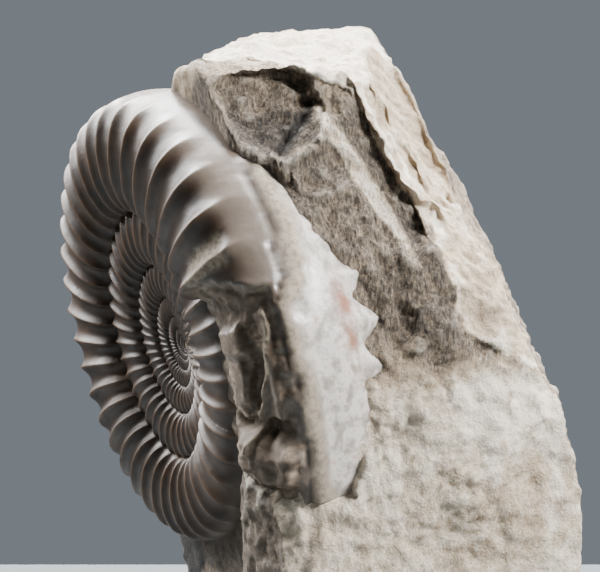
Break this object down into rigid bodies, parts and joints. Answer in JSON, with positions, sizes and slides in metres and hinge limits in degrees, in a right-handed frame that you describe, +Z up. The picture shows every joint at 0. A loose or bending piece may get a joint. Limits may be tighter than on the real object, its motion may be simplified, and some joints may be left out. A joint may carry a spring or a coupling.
{
  "type": "ammonite fossil in its stone",
  "caption": "Coiled, ribbed ammonite shell with a broken body chamber, standing on edge in a rough limestone block with a flat base.",
  "frame": {"origin": "on the flat base, under the middle of the object's box", "axes": "+Z up from the base; +Y away from the side that shows the coil; +X to the right of that side"},
  "size_m": [0.1036, 0.1011, 0.121],
  "materials": {
    "shell": "polished dark brown calcite with worn tan rib crests",
    "rock": "rough broken grey-brown limestone"
  },
  "bodies": {
    "root": {"ammonite_shell": "shell", "matrix_rock": "rock"}
  },
  "joints": []
}
